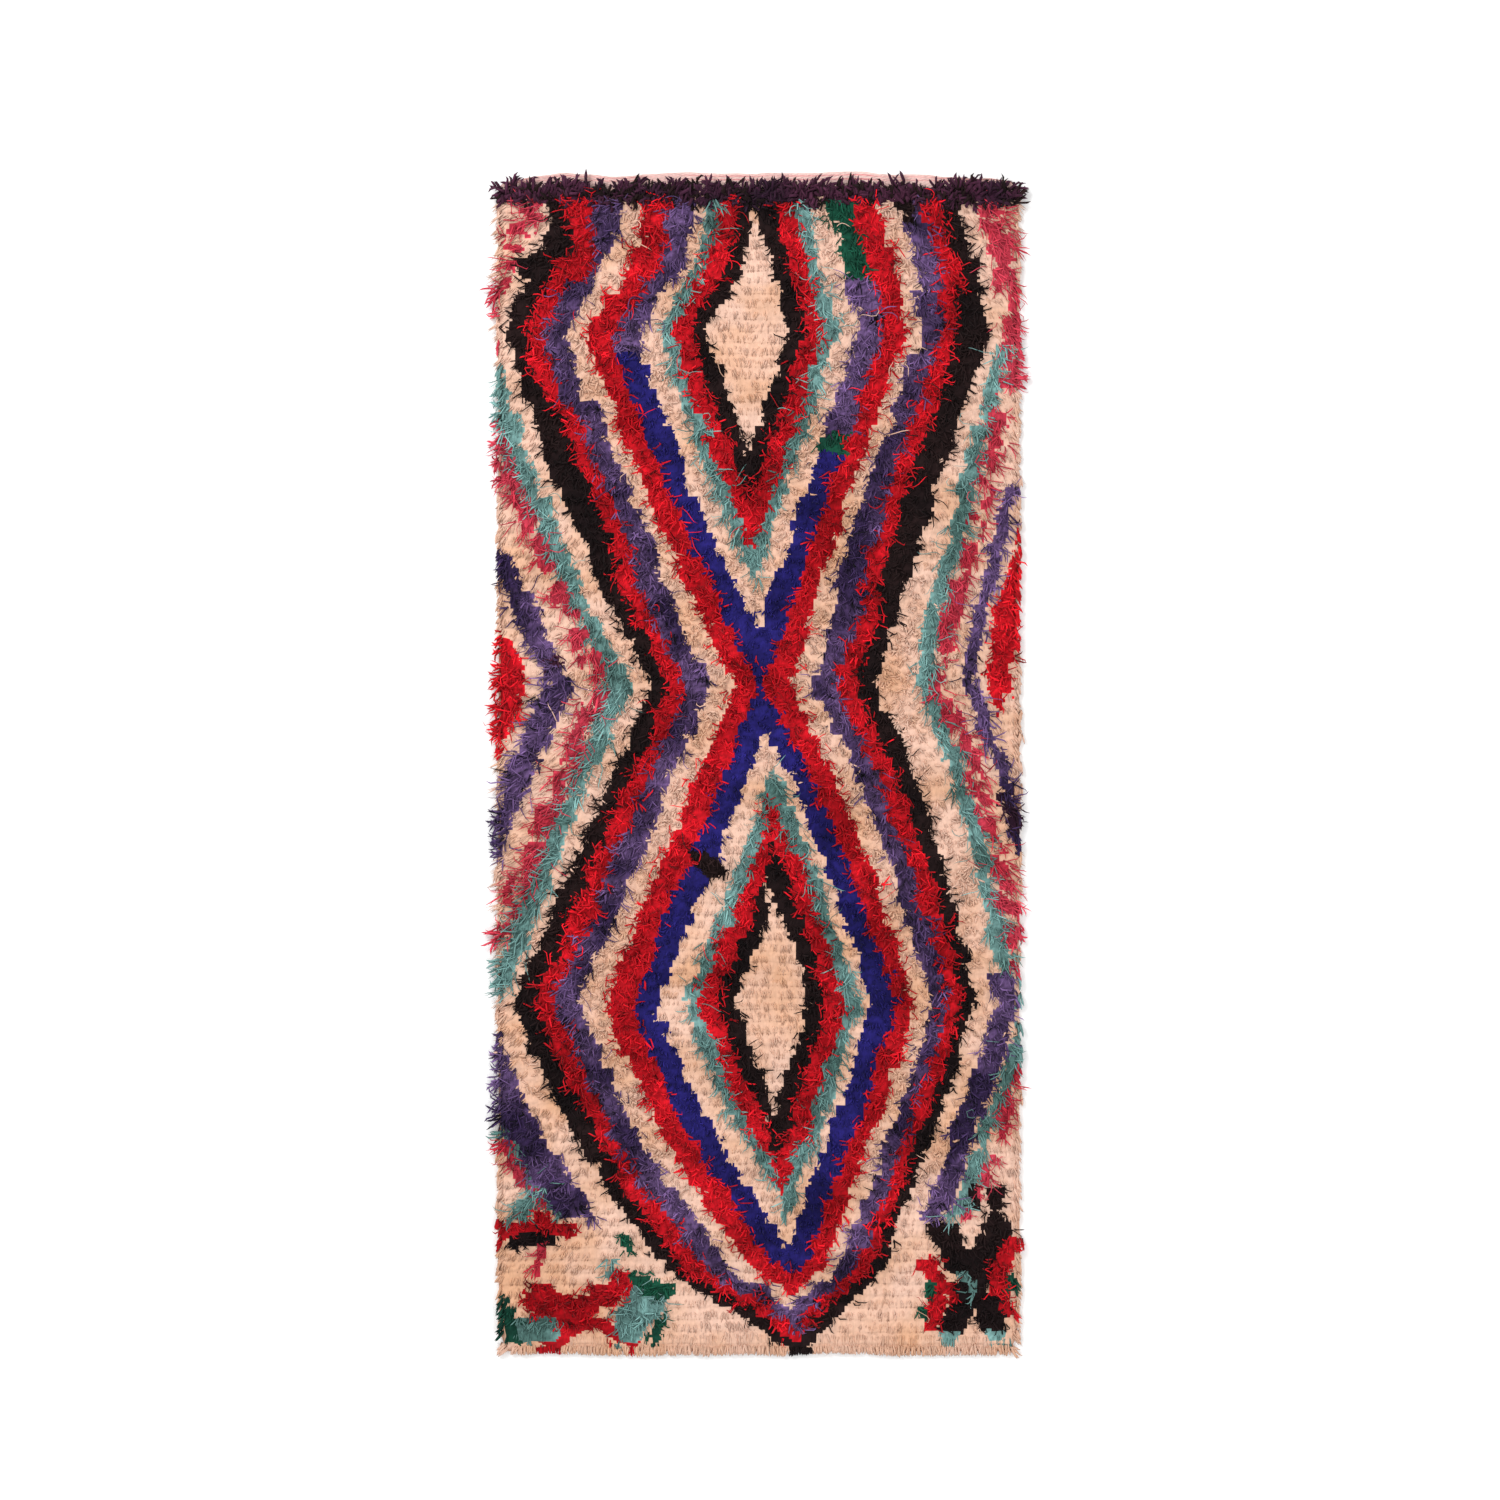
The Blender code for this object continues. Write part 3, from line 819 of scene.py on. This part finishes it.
def strand_faces(rings, sides):
    """One yarn end's faces: a closed tube, with its place in the map."""
    corner = np.arange(sides) / sides * 2 * np.pi
    cap = np.stack([0.075 + 0.05 * np.cos(corner), 0.88 - 0.07 * np.sin(corner)], -1)
    corners = list(range(sides))[::-1]
    sizes = [sides]
    places = [tuple(place) for place in cap]
    wide = 0.78 / sides
    for ring in range(rings):
        start = 0.03 + 0.94 * ring / rings
        end = 0.03 + 0.94 * (ring + 1) / rings
        for side in range(sides):
            here = sides * ring + side
            beside = sides * ring + (side + 1) % sides
            low, high = wide * side + 0.01, wide * side + wide - 0.02
            if ring < rings - 1:
                corners += [here, beside, beside + sides, here + sides]
                places += [(start, low), (start, high), (end, high), (end, low)]
                sizes.append(4)
            else:
                corners += [here, beside, sides * rings]
                places += [(start, low), (start, high), (end, (low + high) / 2)]
                sizes.append(3)
    return np.array(corners), np.array(sizes), np.array(places)


PILE_REACH = 0.518

# How a knot's ends lie: their number, reach, height and thickness, how much of it
# is left at the tip, where their rings sit, how far they curl, turn apart and sink
# at the tip, what share of them strays, and the number of sides to each
Lie = namedtuple("Lie", "ends run height thickness tip stations curl spread drop stray sides")


def strand_points(x, y, heading, run, height, thickness, tip, stations, curl, drop, sides, random):
    """The points of many yarn ends, which rise from their knots and lie over."""
    along = np.array(stations + (1.0,))[None, :]
    count = len(x)
    phase = random.uniform(0, 2 * np.pi, (count, 1))
    bend = np.clip(random.normal(0, 1, (count, 1)), -1.6, 1.6)
    curl = np.reshape(curl, (-1, 1))
    turn = heading[:, None] + curl * (2.2 * bend * along + 0.9 * np.sin(along * 5.0 + phase))
    middle = (turn[:, 1:] + turn[:, :-1]) / 2
    forward = run[:, None] * np.diff(along ** 1.25)
    rise = np.where(along < 0.6, 1 - (1 - along / 0.6) ** 2, 1 - drop * ((along - 0.6) / 0.4) ** 1.5)
    lift = ROOT_HEIGHT + (height[:, None] - ROOT_HEIGHT) * rise
    path = np.empty((count, along.shape[1], 3))
    path[:, 0, 0] = x
    path[:, 0, 1] = y
    path[:, 1:, 0] = x[:, None] + np.cumsum(forward * np.cos(middle), axis=1)
    path[:, 1:, 1] = y[:, None] + np.cumsum(forward * np.sin(middle), axis=1)
    path[..., 2] = lift
    tangent = np.gradient(path, axis=1)
    tangent /= np.linalg.norm(tangent, axis=-1, keepdims=True) + 1e-9
    across = np.stack([np.sin(turn), -np.cos(turn), np.zeros_like(turn)], -1)
    upward = np.cross(tangent, across)
    upward /= np.linalg.norm(upward, axis=-1, keepdims=True) + 1e-9
    share = along[:, :-1]
    width = thickness[:, None] / 2 * (1 + (tip - 1) * share)
    roll = random.uniform(0, 2 * np.pi / sides, count)
    rings = []
    for side in range(sides):
        angle = roll + side * 2 * np.pi / sides
        rim = np.cos(angle)[:, None, None] * across[:, :-1] + np.sin(angle)[:, None, None] * upward[:, :-1]
        rings.append(path[:, :-1] + width[..., None] * rim)
    tube = np.stack(rings, 2).reshape(count, -1, 3)
    return np.concatenate([tube, path[:, -1:]], 1)


def strands(name, parts, slots_used):
    """One mesh of many yarn ends. Parts are blocks of points that share one count of rings."""
    points, corners, sizes, slots, bake, yarn_map = [], [], [], [], [], []
    numbers = {"along": [], "tone": [], "warmth": []}
    total = sum(len(part["points"]) for part in parts)
    grid = int(np.ceil(np.sqrt(total)))
    first_strand = 0
    first_point = 0
    for part in parts:
        block = part["points"]
        count, per_strand = block.shape[:2]
        rings = len(part["stations"])
        sides = (per_strand - 1) // rings
        loop_points, face_sizes, places = strand_faces(rings, sides)
        offsets = first_point + per_strand * np.arange(count)
        points.append(block.reshape(-1, 3))
        corners.append((offsets[:, None] + loop_points).ravel())
        sizes.append(np.tile(face_sizes, count))
        slots.append(np.repeat(part["slot"], len(face_sizes)))
        number = first_strand + np.arange(count)
        cell = np.stack([number % grid, number // grid], -1)
        bake.append(((cell[:, None] + places * 0.96 + 0.02) / grid).reshape(-1, 2))
        lengths = np.stack([places[:, 1] / 0.78, places[:, 0] * 0.03], -1)
        yarn_map.append(np.tile(lengths, (count, 1)))
        along = np.append(np.repeat(part["stations"], sides), 1.0)
        numbers["along"].append(np.tile(along, count))
        numbers["tone"].append(np.repeat(part["tone"], per_strand))
        numbers["warmth"].append(np.repeat(part["warmth"], per_strand))
        first_strand += count
        first_point += count * per_strand
    mesh = fill_mesh(
        name,
        np.concatenate(points),
        np.concatenate(corners),
        np.concatenate(sizes),
        np.concatenate(slots),
        True,
    )
    add_map(mesh, "OFBake", np.concatenate(bake))
    add_map(mesh, "yarn", np.concatenate(yarn_map))
    for number_name, values in numbers.items():
        add_number(mesh, number_name, np.concatenate(values))
    for yarn in slots_used:
        mesh.materials.append(WOOLS[YARNS.index(yarn)])
    return mesh


def tufts(chosen, lie, seed):
    """The yarn ends of the chosen knots, laid as a yarn lies, with a few that stray."""
    random = np.random.default_rng(seed)
    knot_count = chosen.sum()
    count = knot_count * lie.ends

    def per_tuft(spread):
        return np.repeat(random.normal(0, spread, knot_count), lie.ends)

    def per_end(spread):
        return random.normal(0, spread, count)

    x = np.repeat(knots.x[chosen], lie.ends) + per_end(0.0024)
    y = np.repeat(knots.y[chosen], lie.ends) + per_end(0.0020)
    lean = np.repeat(knots.lean[chosen], lie.ends)
    stray = random.uniform(0, 1, count) < lie.stray
    heading = np.arctan2(-1.0, lean) + per_tuft(lie.spread * 0.6) + per_end(lie.spread)
    heading = heading + stray * per_end(0.9)
    uneven = min(1.0, lie.spread / 0.3)
    run = lie.run * np.clip(1 + uneven * (per_tuft(0.16) + per_end(0.18)), 0.35, 1.8)
    run = run * (1 + 0.35 * np.abs(lean)) * np.where(stray, 1.25, 1.0)
    height = lie.height * np.clip(1 + per_tuft(0.08) + per_end(0.08), 0.7, 1.25) + 0.002 * stray
    thickness = lie.thickness * np.clip(1 + per_end(0.14), 0.6, 1.5) * np.where(stray, 0.7, 1.0)
    curl = lie.curl * np.where(stray, 1.9, 1.0)
    reach = np.abs(x + run * np.cos(heading))
    room = np.clip((PILE_REACH - np.abs(x)) / np.maximum(reach - np.abs(x), 0.001), 0.2, 1.0)
    run = np.where(reach > PILE_REACH, run * room, run)
    block = strand_points(
        x, y, heading, run, height, thickness, lie.tip, lie.stations, curl, lie.drop, lie.sides, random
    )
    return {
        "points": block,
        "slot": np.zeros(count, int),
        "tone": np.clip(per_tuft(0.60) + per_end(0.45), -1.8, 1.8),
        "warmth": wool_warmth(x, y) + per_tuft(0.10),
        "stations": lie.stations,
    }


inner_knots = (knots.edge > EDGE_KNOTS) & (knots.y > LAST_ROW + 1.5 * ROW_GAP)


def of_yarn(yarn):
    return inner_knots & (knots.yarn == YARNS.index(yarn))


STANDING_LIE = Lie(5, 0.0150, 0.0155, 0.0036, 1.00, (0.0, 0.5, 0.88), 0.60, 0.60, 0.40, 0.02, 3)
FLAT_LIE = Lie(6, 0.0252, 0.0126, 0.0032, 0.9, (0.0, 0.6), 0.08, 0.09, 0.25, 0.004, 3)
CREAM_PARTING = 0.12


def pile_piece(name, parts, yarns, node="rug_body", slot="pile"):
    """Put yarn ends in the scene as a piece that lies with the ground cloth."""
    new_piece(name, strands(name, parts, yarns), node, slot=slot)


cream = of_yarn("cream")
for part_name, half in (
    ("cream_pile_head", knots.y >= CREAM_PARTING),
    ("cream_pile_foot", knots.y < CREAM_PARTING),
):
    standing = tufts(cream & half & ~knots.flat, STANDING_LIE, 101)
    flat = tufts(cream & half & knots.flat, FLAT_LIE, 102)
    pile_piece(part_name, [standing, flat], ["cream"])

# Dyed pile
# Finer wool than the cream and left longer: red and pink curl, violet and turquoise
# lie in long locks, and blue and black stand as a dense short velvet.
END_STATIONS = (0.0, 0.45, 0.82)
DYED_LIES = {
    "red": Lie(5, 0.023, 0.0205, 0.0034, 0.80, END_STATIONS, 0.90, 0.50, 0.45, 0.06, 3),
    "violet": Lie(5, 0.024, 0.0195, 0.0034, 0.65, END_STATIONS, 0.50, 0.40, 0.45, 0.08, 3),
    "blue": Lie(4, 0.016, 0.0180, 0.0038, 0.90, (0.0, 0.6), 0.25, 0.35, 0.30, 0.02, 3),
    "black": Lie(4, 0.020, 0.0185, 0.0036, 0.75, END_STATIONS, 0.60, 0.45, 0.40, 0.09, 3),
    "turquoise": Lie(5, 0.029, 0.0190, 0.0032, 0.60, END_STATIONS, 0.40, 0.34, 0.45, 0.12, 3),
    "pink": Lie(5, 0.029, 0.0190, 0.0032, 0.60, END_STATIONS, 0.40, 0.34, 0.45, 0.12, 3),
    "green": Lie(5, 0.021, 0.0180, 0.0036, 0.80, END_STATIONS, 0.40, 0.45, 0.40, 0.05, 3),
    "aubergine": Lie(5, 0.024, 0.0185, 0.0036, 0.70, END_STATIONS, 0.45, 0.45, 0.40, 0.08, 3),
}
for seed, (yarn, lie) in enumerate(DYED_LIES.items(), 111):
    pile_piece(f"{yarn}_pile", [tufts(of_yarn(yarn), lie, seed)], [yarn])

# Stray ends
# Yarn ends that were cut longer than the rest or have been pulled up since, and
# curl over the pile around them. There are more of them towards the head.
STRAY_ENDS = 480
STRAY_STATIONS = (0.0, 0.14, 0.28, 0.42, 0.57, 0.72, 0.87)
STRAY_SHARES = {"red": 1.0, "violet": 0.8, "black": 1.0, "turquoise": 1.6, "pink": 1.2, "cream": 0.15}
STRAY_SIDE = 0.44
STRAY_FOOT_SHARE = 0.25
STRAY_RISE = 0.9
STRAY_LENGTHS = (0.034, 0.062)
STRAY_HEIGHTS = (0.0215, 0.0250)
STRAY_THICKNESSES = (0.0018, 0.0028)
STRAY_CURLS = (0.5, 1.3)
STRAY_TIP = 0.7
STRAY_DROP = 0.15
random = np.random.default_rng(141)
stray_share = np.array([STRAY_SHARES.get(yarn, 0.0) for yarn in YARNS])[knots.yarn]
stray_share = stray_share * (STRAY_FOOT_SHARE + np.clip(knots.y / STRAY_RISE, 0, 1))
stray_share = np.where(inner_knots & (np.abs(knots.x) < STRAY_SIDE), stray_share, 0.0)
stray_share = stray_share / stray_share.sum()
picked = random.choice(len(knots.x), STRAY_ENDS, replace=False, p=stray_share)
x = knots.x[picked]
y = knots.y[picked]
heading = random.normal(-np.pi / 2, 1.0, STRAY_ENDS)
run = random.uniform(*STRAY_LENGTHS, STRAY_ENDS)
height = random.uniform(*STRAY_HEIGHTS, STRAY_ENDS)
thickness = random.uniform(*STRAY_THICKNESSES, STRAY_ENDS)
curl = random.uniform(*STRAY_CURLS, STRAY_ENDS)
stray_points = strand_points(
    x, y, heading, run, height, thickness, STRAY_TIP, STRAY_STATIONS, curl, STRAY_DROP, 3, random
)
stray_part = {
    "points": stray_points,
    "slot": knots.yarn[picked],
    "tone": random.uniform(-0.4, 1.4, STRAY_ENDS),
    "warmth": wool_warmth(x, y),
    "stations": STRAY_STATIONS,
}
pile_piece("stray_ends", [stray_part], YARNS)

# Edge locks
# The knots along each selvedge and in the last rows at the foot, whose ends have
# nothing beside them and hang past the cloth, and the dark row across the head
# that lies up over the flat-woven end.
Stretch = namedtuple("Stretch", "station reach sweep")
LEFT_EDGE = (
    Stretch(-1.09, 0.008, 0.000),
    Stretch(-0.80, 0.006, 0.000),
    Stretch(-0.66, 0.020, -0.006),
    Stretch(-0.45, 0.008, 0.000),
    Stretch(-0.33, 0.030, -0.006),
    Stretch(-0.24, 0.010, 0.000),
    Stretch(-0.12, 0.018, -0.004),
    Stretch(-0.02, 0.006, 0.000),
    Stretch(0.09, 0.018, -0.005),
    Stretch(0.24, 0.012, 0.000),
    Stretch(0.40, 0.005, 0.000),
    Stretch(0.61, 0.018, -0.004),
    Stretch(0.80, 0.006, 0.000),
    Stretch(0.90, 0.030, -0.006),
    Stretch(0.98, 0.006, 0.000),
    Stretch(1.07, 0.030, 0.003),
)
RIGHT_EDGE = (
    Stretch(-1.09, 0.007, 0.000),
    Stretch(-0.75, 0.010, -0.003),
    Stretch(-0.50, 0.005, 0.000),
    Stretch(-0.32, 0.012, -0.004),
    Stretch(-0.20, 0.005, 0.000),
    Stretch(-0.08, 0.010, -0.003),
    Stretch(0.05, 0.005, 0.000),
    Stretch(0.50, 0.006, 0.000),
    Stretch(0.70, 0.016, -0.004),
    Stretch(0.85, 0.008, 0.000),
    Stretch(0.95, 0.010, -0.003),
    Stretch(1.03, 0.008, 0.000),
    Stretch(1.07, 0.032, 0.003),
)
EDGE_STATIONS = (0.0, 0.4, 0.8)
EDGE_ENDS = 6
EDGE_LIMIT = 0.531
EDGE_THICKNESS = 0.0042
EDGE_HEIGHT = 0.0165
CREAM_EDGE_HEIGHT = 0.0115
CALM_REACH = 0.0135
CALM_FADE = 0.004
CALM_SWEEP = 0.014
CALM_CURL = 0.10
LOOSE_CURL = 0.35


def edge_block(x, y, heading, run, yarn, heights, tip, thickness, random, curl=0.35, drop=0.7):
    """Yarn ends along an edge, each with its own place, heading and length."""
    count = len(x)
    height = heights * np.clip(random.normal(1, 0.12, count), 0.6, 1.3)
    width = thickness * np.clip(random.normal(1, 0.14, count), 0.6, 1.5)
    block = strand_points(x, y, heading, run, height, width, tip, EDGE_STATIONS, curl, drop, 3, random)
    return {
        "points": block,
        "slot": yarn,
        "tone": np.clip(random.normal(0, 0.6, count), -1.6, 1.6),
        "warmth": wool_warmth(x, y),
        "stations": EDGE_STATIONS,
    }


def side_locks(side, edge, seed):
    """The ends of the knots along one selvedge, which lie out over it."""
    random = np.random.default_rng(seed)
    chosen = (knots.edge <= EDGE_KNOTS) & (np.sign(knots.x) == side)
    x = np.repeat(knots.x[chosen], EDGE_ENDS) + random.normal(0, 0.0022, chosen.sum() * EDGE_ENDS)
    y = np.repeat(knots.y[chosen], EDGE_ENDS) + random.normal(0, 0.0045, len(x))
    yarn = np.repeat(knots.yarn[chosen], EDGE_ENDS)
    reach = at_station(edge, "reach", y)
    cream_end = yarn == YARNS.index("cream")
    calm = np.where(cream_end, 1.0, np.clip((CALM_REACH - reach) / CALM_FADE, 0.0, 1.0))
    reach = reach * np.clip(random.normal(0.85, 0.30, len(x)), 0.1, 1.4) * (1 - calm)
    beyond = np.minimum(CLOTH_SIDE + reach + random.uniform(0, 0.005, len(x)), EDGE_LIMIT)
    sideways = np.maximum(beyond - np.abs(x), 0.002)
    sweep = at_station(edge, "sweep", y) * 2 - 0.005 - CALM_SWEEP * calm + random.normal(0, 0.004, len(x))
    heading = np.arctan2(sweep, side * sideways)
    run = np.hypot(sweep, sideways)
    heights = np.where(cream_end, CREAM_EDGE_HEIGHT, EDGE_HEIGHT)
    curl = CALM_CURL + LOOSE_CURL * (1 - calm)
    return edge_block(x, y, heading, run, yarn, heights, 1.0, EDGE_THICKNESS, random, curl)


pile_piece("left_edge_locks", [side_locks(-1, LEFT_EDGE, 131)], YARNS, "locks_left", "side_locks")
pile_piece("right_edge_locks", [side_locks(1, RIGHT_EDGE, 132)], YARNS, "locks_right", "side_locks")

FOOT_ENDS = 7
FOOT_TIPS = -1.1235
FOOT_UNEVEN = 0.0025
FOOT_LENGTHS = (0.012, 0.030)
FOOT_HEIGHT = 0.0125
FOOT_THICKNESS = 0.0040
random = np.random.default_rng(133)
foot_knots = (knots.edge > EDGE_KNOTS) & ~inner_knots
x = np.repeat(knots.x[foot_knots], FOOT_ENDS)
x = x + random.uniform(-0.5, 0.5, len(x)) * KNOT_GAP
y = np.repeat(knots.y[foot_knots], FOOT_ENDS) + random.normal(0, 0.0020, len(x))
yarn = np.repeat(knots.yarn[foot_knots], FOOT_ENDS)
heading = -np.pi / 2 + random.normal(0, 0.12, len(x)) + 0.2 * x
uneven = FOOT_UNEVEN * drift(x, np.zeros_like(x), 0.05, 47)
run = np.clip(y - FOOT_TIPS + uneven + random.normal(0, 0.0012, len(x)), *FOOT_LENGTHS)
foot_block = edge_block(
    x, y, heading, run, yarn, FOOT_HEIGHT, 1.1, FOOT_THICKNESS, random, curl=0.12, drop=0.75
)
pile_piece("foot_edge_locks", [foot_block], YARNS, "locks_foot", "foot_locks")

HEAD_TUFTS = 420
HEAD_ENDS = 4
HEAD_ROWS = (0.000, 0.007, 0.014)
HEAD_LENGTHS = (0.010, 0.042)
HEAD_HEIGHT = 0.0190
HEAD_THICKNESS = 0.0056
HEAD_OVERHANG = 0.004
HANGING_SHARE = 0.36
HANGING_LENGTH = 0.024
BLACK_SHARE = 0.25
FAN_START = 0.43
LONGER_START = 0.34
CORNER_FADE = 0.06
random = np.random.default_rng(134)
tuft_x = np.linspace(-CLOTH_SIDE + 0.006, CLOTH_SIDE - 0.006, HEAD_TUFTS)
x = np.repeat(tuft_x, HEAD_ENDS) + random.normal(0, 0.0035, HEAD_TUFTS * HEAD_ENDS)
tuft_fall = random.choice(HEAD_ROWS, HEAD_TUFTS) + random.normal(0, 0.003, HEAD_TUFTS)
y = PILE_HEAD - np.repeat(tuft_fall, HEAD_ENDS) + random.normal(0, 0.003, len(x))
hanging = np.repeat(random.uniform(0, 1, HEAD_TUFTS) < HANGING_SHARE, HEAD_ENDS)
fan = np.clip((np.abs(x) - FAN_START) / CORNER_FADE, 0, 1) * np.sign(x)
longer_right = np.clip((x - LONGER_START) / CORNER_FADE, 0, 1) * 0.006
tuft_turn = np.repeat(random.normal(0, 0.35, HEAD_TUFTS), HEAD_ENDS)
heading = np.where(hanging, -np.pi / 2 + fan * 0.5, np.pi / 2 - fan * 0.9)
heading = heading + tuft_turn + random.normal(0, 0.25, len(x))
tuft_run = np.repeat(random.normal(0.025, 0.005, HEAD_TUFTS), HEAD_ENDS)
tuft_run = tuft_run + random.normal(0, 0.003, len(x))
run = np.clip(tuft_run + longer_right + np.abs(fan) * 0.004, *HEAD_LENGTHS)
run = np.minimum(run, np.where(hanging, HANGING_LENGTH, HEAD + HEAD_OVERHANG - y))
black = np.repeat(random.uniform(0, 1, HEAD_TUFTS) < BLACK_SHARE, HEAD_ENDS)
yarn = np.where(black, YARNS.index("black"), YARNS.index("aubergine"))
head_block = edge_block(
    x, y, heading, run, yarn, HEAD_HEIGHT, 1.0, HEAD_THICKNESS, random, curl=0.55, drop=0.45
)
pile_piece("head_row_locks", [head_block], YARNS, "locks_head", "head_locks")

# Studio
# A plain pale floor, soft light from above, and a camera straight over the rug.
FLOOR_SIZE = 14.0
floor_mesh = bpy.data.meshes.new("floor")
floor_turns = ((-1, -1), (1, -1), (1, 1), (-1, 1))
floor_corners = [(FLOOR_SIZE / 2 * right, FLOOR_SIZE / 2 * ahead, 0) for right, ahead in floor_turns]
floor_mesh.from_pydata(floor_corners, [], [(0, 1, 2, 3)])
floor = bpy.data.objects.new("floor", floor_mesh)
bpy.context.scene.collection.objects.link(floor)
finish = Finish("pale floor")
grain = finish.node("ShaderNodeTexNoise", {}, {"Scale": 3.0, "Detail": 2.0})
tint = finish.mix(grain, (0.93, 0.93, 0.93, 1), (0.95, 0.95, 0.95, 1))
paint = finish.node("ShaderNodeBsdfPrincipled", {}, {"Base Color": tint, "Roughness": 0.8})
finish.node("ShaderNodeOutputMaterial", {}, {"Surface": paint})
floor_mesh.materials.append(finish.material)

world = bpy.data.worlds.new("soft surround")
world.use_nodes = True
world.node_tree.nodes["Background"].inputs[0].default_value = (1.0, 1.0, 1.0, 1)
world.node_tree.nodes["Background"].inputs[1].default_value = 0.88
bpy.context.scene.world = world


def softbox(name, place, size, power):
    """A large square light that faces the middle of the rug."""
    lamp = bpy.data.lights.new(name, "AREA")
    lamp.shape = "SQUARE"
    lamp.size = size
    lamp.energy = power
    holder = bpy.data.objects.new(name, lamp)
    bpy.context.scene.collection.objects.link(holder)
    holder.location = place
    direction = -holder.location
    holder.rotation_euler = direction.to_track_quat("-Z", "Y").to_euler()


softbox("key", (-3.0, 3.2, 4.2), 2.4, 210)
softbox("fill", (3.4, -2.6, 4.2), 3.0, 70)

CAMERA_HEIGHT = 6.0
SENSOR = 36.0
FRAME_WIDTH = 2.85
camera_data = bpy.data.cameras.new("camera")
camera_data.sensor_width = SENSOR
camera_data.lens = SENSOR * CAMERA_HEIGHT / FRAME_WIDTH
camera = bpy.data.objects.new("camera", camera_data)
camera.location = (-0.01615, 0.02565, CAMERA_HEIGHT)
bpy.context.scene.collection.objects.link(camera)
bpy.context.scene.camera = camera
bpy.context.scene.view_settings.view_transform = "Standard"
